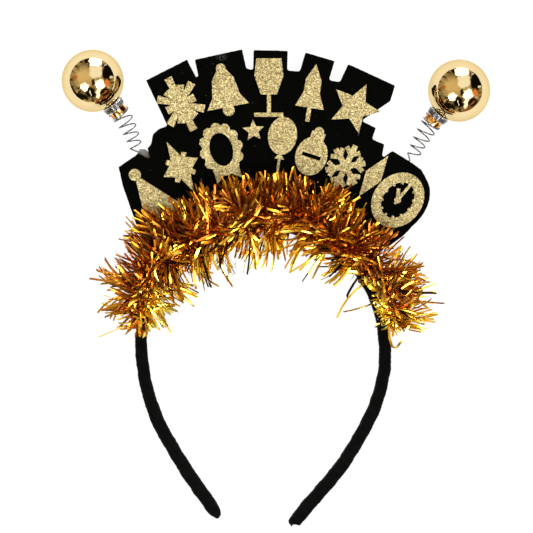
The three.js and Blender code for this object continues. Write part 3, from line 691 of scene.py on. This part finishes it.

    # painted light and shade, brown to yellow and alike within a tuft: painted light makes it more yellow at
    # the ends, on the inner side and at the tips, painted shade browner at the roots and in the outer tufts
    at_left, at_right = near_ends(share, 0.2, 0.16)
    ends = 0.22 * at_left + 0.4 * at_right
    tone = 0.5 * tuft_painted_light[tuft] + 0.4 * random.random(count) + ends
    tone += np.select([np.cos(turn) < -0.3, np.cos(turn) > 0.5], [0.17, -0.15], -0.03)
    tone = tone[:, None] + np.linspace(-0.24, 0.08, rings - 1)
    tone = np.searchsorted(FOIL_LIGHT_AND_SHADE_STEPS, tone)
    # A few strips, more of them on the inner side, get the black foil, a painted dark reflection
    painted_dark_reflection_strips = random.random(count) < np.where(np.cos(turn) < 0, 0.07, 0.03)
    tone[painted_dark_reflection_strips] = len(FOIL_LIGHT_AND_SHADE_STEPS) + 1
    tone[:len(stray)] = stray[:, 4:]
    tone = np.concatenate([np.repeat(tone, 6, axis=1), tone[:, :1], tone[:, -1:]], axis=1)
    made.data.polygons.foreach_set("material_index", tone.ravel().astype(np.int32))
    return made


def make_core():
    """The twisted heart of the garland, seen only between the strips."""
    steps = 160
    sides = 20
    thickest = 0.0042
    clearance = 0.0004
    share = np.linspace(0.0, 1.0, steps)
    centre, outward, *_ = strand_at(share)
    points = []
    for k in range(steps):
        end = min(1.0, 0.25 + 12 * min(share[k], 1 - share[k]))
        for j in range(sides):
            angle = 2 * math.pi * j / sides
            spiral = 1 + 0.16 * math.sin(3 * angle + 150 * share[k])
            way = outward[k] * math.cos(angle) + np.array([0, 0, math.sin(angle)])
            points.append(centre[k] + thickest * end * spiral * way)
    points = lifted(np.array(points), obstacles(), np.full(len(points), clearance))
    return ringed_object("tinsel_core", points, sides)


# Where one tone of foil ends and the next begins. The tones are painted light and shade on one gold foil.
FOIL_LIGHT_AND_SHADE_STEPS = (0.26, 0.52, 0.76, 0.92)
# The tones from painted shade in brown to painted light in yellow and pale, then black, a painted dark
# reflection: light and dark streaks, and roughness
FOIL_LIGHT_AND_SHADE = (
    ("foil_painted_shade_brown", (0.36, 0.1, 0.012), (0.2, 0.045, 0.005), 0.24),
    ("foil_painted_shade_amber", (0.57, 0.23, 0.022), (0.42, 0.14, 0.01), 0.22),
    ("foil_gold", (0.8, 0.44, 0.038), (0.66, 0.31, 0.02), 0.2),
    ("foil_painted_light_yellow", (0.93, 0.68, 0.08), (0.86, 0.55, 0.04), 0.2),
    ("foil_painted_light_pale", (1.0, 0.86, 0.22), (0.95, 0.77, 0.12), 0.2),
    ("foil_painted_dark_reflection", (0.022, 0.013, 0.006), (0.008, 0.005, 0.003), 0.3),
)


def make_tinsel():
    """The garland: a core and two pieces of 150 tufts and 1800 strips each."""
    looks = [foil_look(*row) for row in FOIL_LIGHT_AND_SHADE]
    for name, seed, strays in (("tinsel_strips_a", 11, STRAYS), ("tinsel_strips_b", 12, ())):
        strips = make_strips(name, 150, 1800, seed, strays)
        finish_piece(strips, "tinsel_foil", *looks)
        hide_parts("tinsel_garland")
    core = make_core()
    # The core takes the brown foil, painted shade for a core that lies deep among the strips
    finish_piece(core, "tinsel_foil", looks[0])
    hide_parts("tinsel_garland")


# Balls, caps, springs and glue

# Where each wire enters the felt, the way from there to its ball, and the way that the ball's cap points,
# in degrees from straight up. Out is in shares of TAB_RADIUS.
BALLS = {
    "left": {"turn": -40.0, "out": 0.776, "heading": -32.9, "lean": -40.0},
    "right": {"turn": 46.0, "out": 0.81, "heading": 35.1, "lean": 40.5},
}


def axes(heading):
    """Turned so that Z runs from the ball to the felt and X to the front."""
    drop = math.asin((BALL_RADIUS - TAIL_HEIGHT) / SPRING_REACH)
    heading = math.radians(heading)
    level = math.cos(drop)
    to_felt = Vector((-math.sin(heading) * level, -math.cos(heading) * level, -math.sin(drop)))
    sideways = to_felt.cross(Vector((0, 0, 1))).normalized()
    front = sideways.cross(to_felt).normalized()
    return Matrix((front, to_felt.cross(front), to_felt)).transposed().to_4x4()


def arm_places(side):
    """The frame of the ball and its cap, and the frame of the wire, both from the middle of the ball."""
    row = BALLS[side]
    turn = math.radians(row["turn"])
    distance = row["out"] * TAB_RADIUS
    edge = Vector((ZERO[0] + FAN_CENTRE_RIGHT + distance * math.sin(turn),
                   ZERO[1] + FAN_CENTRE_RISE + distance * math.cos(turn), TAIL_HEIGHT))
    arm = axes(row["heading"])
    middle = Matrix.Translation(edge - arm @ Vector((0, 0, SPRING_REACH)))
    return middle @ axes(row["lean"]), middle @ arm


def make_ball(side, place):
    """A thin hollow ball, open at its neck: the outer side from the far pole, then the inner side back."""
    outline = []
    pole = math.pi - 0.004
    for wall, steps, turn in ((0.0, 72, 1), (BALL_WALL, 36, -1)):
        radius = BALL_RADIUS - wall
        neck = math.asin(BALL_NECK / radius)
        angles = np.linspace(pole, neck, steps)[::turn]
        outline += [(radius * math.sin(a), radius * math.cos(a)) for a in angles]
    made = lathe(f"bauble_{side}", outline, 96, place)
    finish_piece(made, "ball_gold", gold_mirror_look())
    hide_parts(f"ball_{side}")


def make_cap(side, place):
    """A ribbed flange with a scalloped skirt against the ball, then a smooth sleeve with a thin rim."""
    base = BALL_RADIUS - 0.0002
    flange_top = base + 0.0027
    sleeve_low, sleeve_high = base + 0.0029, base + 0.006

    def scallops(radius, height, angle):
        deep = 0.045 if radius > 0.005 and height < flange_top else 0.0
        return 1 - deep * (0.5 - 0.5 * math.cos(20 * angle))

    # rows of radius and height: the underside, five ridges, the sleeve, the rim and the inside
    outline = [(0.0005, base + 0.0004), (0.0048, base), (0.0056, base - 0.0002)]
    for row in range(5):
        ridge = base + 0.0003 + 0.0005 * row
        outline += [(0.0058 - 0.00008 * row, ridge), (0.0054 - 0.00008 * row, ridge + 0.00025)]
    outline += [
        (0.0049, base + 0.0029), (0.0046, base + 0.0032), (0.0045, base + 0.0045), (0.0046, base + 0.0058),
        (0.005, base + 0.0062), (0.005, base + 0.0066), (0.0045, base + 0.0067), (0.0041, base + 0.0062),
        (0.004, base + 0.0048), (0.0005, base + 0.0047),
    ]
    made = lathe(f"crown_cap_{side}", outline, 120, place, scallops)
    finish_piece(made, "cap_metal", cap_look(), sleeve_look())
    back = place.inverted()
    for face in made.data.polygons:
        face.material_index = int(sleeve_low < (back @ face.center).z < sleeve_high)
    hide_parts(f"cap_{side}")


def tube(name, line, radius, sides):
    """A round wire along a line of points, closed at both ends."""
    line = [Vector(point) for point in line]
    points = []
    normal = None
    for k, here in enumerate(line):
        tangent = (line[min(k + 1, len(line) - 1)] - line[max(k - 1, 0)]).normalized()
        if normal is None:
            normal = tangent.orthogonal().normalized()
        normal = (normal - tangent * normal.dot(tangent)).normalized()
        other = tangent.cross(normal)
        for j in range(sides):
            angle = 2 * math.pi * j / sides
            points.append(here + radius * (normal * math.cos(angle) + other * math.sin(angle)))
    return ringed_object(name, points, sides, sharp=50)


COIL_TURNS = 5
COIL_RADIUS = 0.005  # at the cap
COIL_END_RADIUS = 0.003  # at the felt
WIRE_RADIUS = 0.00037


def make_spring(side, place, arm):
    """A steel coil that narrows and bends on its way from the cap to the felt."""
    first = place @ Vector((0, 0, BALL_RADIUS + 0.55 * CAP_HEIGHT))
    corner = place @ Vector((0, 0, 0.66 * SPRING_REACH))
    last = arm @ Vector((0, 0, SPRING_REACH - 0.003))
    front = (arm.to_3x3() @ Vector((1, 0, 0))).normalized()
    line = []
    steps = COIL_TURNS * 40
    for k in range(steps + 1):
        share = k / steps
        way = share + 0.16 * share * (1 - share)
        middle = (1 - way) ** 2 * first + 2 * way * (1 - way) * corner + way * way * last
        tangent = (2 * (1 - way) * (corner - first) + 2 * way * (last - corner)).normalized()
        across = tangent.cross(front).normalized()
        angle = 2 * math.pi * COIL_TURNS * share + 0.5 * math.pi
        radius = COIL_RADIUS + (COIL_END_RADIUS - COIL_RADIUS) * share
        line.append(middle + radius * (across.cross(tangent) * math.cos(angle) + across * math.sin(angle)))

    # the wire then runs straight to the felt and on behind it
    inner = line[-1]
    for share in np.linspace(0.25, 1, 4):
        line.append(inner.lerp(arm @ Vector((0, 0, SPRING_REACH)), share))
    line += [arm @ Vector((0, 0, SPRING_REACH + along)) for along in (0.001, 0.0025, 0.004)]
    made = tube(f"coil_{side}", line, WIRE_RADIUS, 10)
    finish_piece(made, "spring_steel", steel_look())
    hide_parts(f"spring_{side}")


# How far the top of each dab is drawn up along its wire: the left one fills a notch of the felt
GLUE_RISE = {"left": 0.0017, "right": 0.0}


def make_glue(side):
    """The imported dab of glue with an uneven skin."""
    dab = copy_of(f"glue_{side}", f"glue_dab_{side}")
    remesh(dab, 0.0004)
    points, normals = arrays(dab)
    points += normals * (0.0002 * roughened(points, 0.002, 4.0))[:, None]
    low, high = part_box(f"glue_{side}")
    points[:, 1] += GLUE_RISE[side] * np.clip((points[:, 1] - low.y) / (high.y - low.y), 0, 1)
    points[:, 2] = np.clip(points[:, 2], low.z, high.z)
    move_points(dab, points)
    finish_piece(dab, "hot_glue", glue_look())
    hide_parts(f"glue_{side}")


# Table, room and lights

def make_stage():
    """A plain white table that shines a little, so that it stays white."""
    size = 3.0
    height = -0.0002
    corners = [(-size, -size, height), (size, -size, height), (size, size, height), (-size, size, height)]
    table = mesh_object("table", corners, [[0, 1, 2, 3]], smooth=False)
    look = Look("table_white", Roughness=0.9, Specular_IOR_Level=0.0, Base_Color=(0.14, 0.14, 0.14),
                Emission_Color=(0.88, 0.88, 0.88), Emission_Strength=1.0)
    table.data.materials.append(look.material)


# What is in the room, as it shows on the face of a mirror ball: x to the right and y up in shares of the
# ball's radius, half width, half height, turn in degrees, brightness, tint and softness of the edge.
WHITE = (1.0, 1.0, 1.0)
WARM = (1.0, 0.79, 0.44)
ORANGE = (1.0, 0.33, 0.08)
ROOM = (
    (-0.28, 0.12, 0.26, 0.24, 10, 0.8, WARM, 0.6),
    (0.12, 0.3, 0.2, 0.24, 5, 1.15, WHITE, 0.2),
    (0.1, 0.6, 0.19, 0.13, 0, 4.0, WHITE, 0.12),
    (-0.2, 0.6, 0.06, 0.08, 20, 0.01, WARM, 0.3),
    (0.54, 0.27, 0.18, 0.26, -12, 0.006, WARM, 0.1),
    (0.42, 0.5, 0.04, 0.02, 30, 1.2, WHITE, 0.3),
    (0.62, 0.1, 0.03, 0.04, 0, 1.0, WHITE, 0.3),
    (-0.24, -0.22, 0.13, 0.11, -25, 2.8, WHITE, 0.2),
    (0.27, -0.13, 0.15, 0.14, 20, 2.8, WHITE, 0.2),
    (0.5, -0.1, 0.08, 0.11, 20, 0.9, ORANGE, 0.4),
    (-0.52, 0.1, 0.07, 0.05, 0, 0.5, ORANGE, 0.5),
    (-0.63, -0.26, 0.05, 0.3, 24, 0.006, WARM, 0.3),
    (-0.44, -0.53, 0.16, 0.05, -42, 0.006, WARM, 0.3),
    (0.05, -0.08, 0.04, 0.11, 0, 0.02, WARM, 0.4),
    (-0.05, -0.4, 0.14, 0.17, 0, 0.004, WARM, 0.25),
    (-0.05, -0.42, 0.02, 0.08, 10, 1.5, WHITE, 0.4),
    (-0.3, -0.52, 0.2, 0.07, -25, 0.01, WARM, 0.3),
    (0.2, -0.42, 0.06, 0.16, -5, 2.0, WHITE, 0.3),
    (0.42, -0.4, 0.15, 0.12, 40, 0.015, WARM, 0.3),
    (0.4, -0.4, 0.12, 0.015, 40, 0.6, ORANGE, 0.5),
    (0.3, -0.6, 0.2, 0.05, 25, 0.3, ORANGE, 0.5),
)


def make_room():
    """A warm room with windows, lamps and dark shelves as plain soft patches of tone."""
    world = bpy.data.worlds.new("room")
    scene.world = world
    world.use_nodes = True
    tree = world.node_tree
    tree.nodes.clear()

    def node(kind, *values, **settings):
        made = tree.nodes.new(kind)
        for name, value in settings.items():
            setattr(made, name, value)
        for k, value in enumerate(values):
            if isinstance(value, bpy.types.NodeSocket):
                tree.links.new(value, made.inputs[k])
            elif value is not None:
                made.inputs[k].default_value = value
        return made

    def maths(operation, *values):
        return node("ShaderNodeMath", *values, operation=operation).outputs[0]

    def vector(operation, *values):
        return node("ShaderNodeVectorMath", *values, operation=operation).outputs[0]

    def over(colour, share, tone):
        mixed = node("ShaderNodeMix", share, data_type="RGBA")
        tree.links.new(colour, mixed.inputs[6])
        mixed.inputs[7].default_value = (*tone, 1)
        return mixed.outputs[2]

    towards = node("ShaderNodeTexCoord").outputs["Generated"]
    wobble = node("ShaderNodeTexNoise", towards)
    wobble.inputs["Scale"].default_value = 5
    wobble.inputs["Detail"].default_value = 4
    shake = vector("SUBTRACT", wobble.outputs["Color"], (0.5, 0.5, 0.5))
    shake = vector("MULTIPLY", shake, (0.16, 0.16, 0.0))
    halfway = vector("ADD", vector("NORMALIZE", vector("ADD", towards, (0, 0, 1))), shake)
    halfway = vector("MULTIPLY", halfway, (1, 1, 0))
    parts = node("ShaderNodeSeparateXYZ", halfway)
    across, upward = parts.outputs[0], parts.outputs[1]
    out = node("ShaderNodeVectorMath", halfway, operation="LENGTH").outputs["Value"]
    ramp = node("ShaderNodeValToRGB", out)
    stops = ((0.0, 0.62), (0.3, 0.42), (0.6, 0.26), (0.7, 0.5))
    elements = ramp.color_ramp.elements
    while len(elements) < len(stops):
        elements.new(0.5)
    for element, (at, tone) in zip(elements, stops):
        element.position = at
        element.color = (*(tone * part for part in WARM), 1)
    colour = ramp.outputs[0]

    # shelves and door frames, which run out from the middle of the ball's face
    spoke = vector("NORMALIZE", halfway)
    depth = node("ShaderNodeCombineXYZ", 0.0, 0.0, maths("MULTIPLY", out, 1.6)).outputs[0]
    rays = node("ShaderNodeTexNoise", vector("ADD", vector("MULTIPLY", spoke, (2.2, 2.2, 0.0)), depth))
    rays.inputs["Scale"].default_value = 2.6
    rays.inputs["Detail"].default_value = 2
    beyond = node("ShaderNodeMapRange", out, 0.2, 0.45, 0.0, 0.92).outputs[0]
    dark = node("ShaderNodeMapRange", rays.outputs[0], 0.5, 0.56, 0.0, 1.0).outputs[0]
    colour = over(colour, maths("MULTIPLY", dark, beyond), (0.03, 0.02, 0.008))
    bright = node("ShaderNodeMapRange", rays.outputs[0], 0.36, 0.3, 0.0, 0.8).outputs[0]
    colour = over(colour, maths("MULTIPLY", bright, beyond), (1.1, 0.9, 0.6))

    for x, y, wide, tall, turn, tone, tint, soft in ROOM:
        cosine, sine = math.cos(math.radians(turn)), math.sin(math.radians(turn))
        dx, dy = maths("SUBTRACT", across, x), maths("SUBTRACT", upward, y)
        u = maths("ADD", maths("MULTIPLY", dx, cosine / wide), maths("MULTIPLY", dy, sine / wide))
        v = maths("SUBTRACT", maths("MULTIPLY", dy, cosine / tall), maths("MULTIPLY", dx, sine / tall))
        u, v = (maths("POWER", maths("ABSOLUTE", value), 3) for value in (u, v))
        size = maths("POWER", maths("ADD", u, v), 1 / 3)
        edge = node("ShaderNodeMapRange", size, 1 - soft, 1 + soft, 1.0, 0.0, interpolation_type="SMOOTHSTEP")
        colour = over(colour, edge.outputs[0], [tone * part for part in tint])
    seen = node("ShaderNodeLightPath").outputs["Is Camera Ray"]
    background = node("ShaderNodeBackground", over(colour, seen, (0.92, 0.92, 0.92)))
    tree.links.new(background.outputs[0], node("ShaderNodeOutputWorld").inputs["Surface"])


def make_light(name, towards, size, power):
    """A square soft light, on the given side of the object and aimed at it."""
    distance = 1.2
    data = bpy.data.lights.new(name, "AREA")
    data.shape = "SQUARE"
    data.size = size
    data.energy = power
    made = bpy.data.objects.new(name, data)
    made.location = Vector(towards).normalized() * distance
    made.rotation_euler = (-Vector(towards)).to_track_quat("-Z", "Y").to_euler()
    scene.collection.objects.link(made)


def make_camera():
    """Straight above. One pixel is half a millimetre at the height of the felt."""
    distance = 1.3
    frame_width = 0.2665
    sensor = 36
    data = bpy.data.cameras.new("camera")
    data.sensor_width = sensor
    data.lens = sensor * distance / frame_width
    made = bpy.data.objects.new("camera", data)
    made.location = (ZERO[0] + 0.0021, ZERO[1] + 0.03775, 0.009 + distance)
    scene.collection.objects.link(made)
    scene.camera = made


def dress_motifs():
    """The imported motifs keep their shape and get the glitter."""
    glitter = glitter_look()
    for name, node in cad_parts.items():
        if name.startswith("glitter"):
            node.data.materials.clear()
            node.data.materials.append(glitter.material)


make_camera()
make_stage()
make_room()
make_light("window_left", (-0.52, -0.41, 0.75), 0.3, 9)
make_light("window_right", (0.42, -0.31, 0.85), 0.3, 8)
make_light("window_top", (0.08, 0.94, 0.34), 0.5, 12)
scene.view_settings.view_transform = "Standard"

make_band()
make_felt()
dress_motifs()
make_tinsel()
for side in BALLS:
    place, arm = arm_places(side)
    make_ball(side, place)
    make_cap(side, place)
    make_spring(side, place, arm)
    make_glue(side)
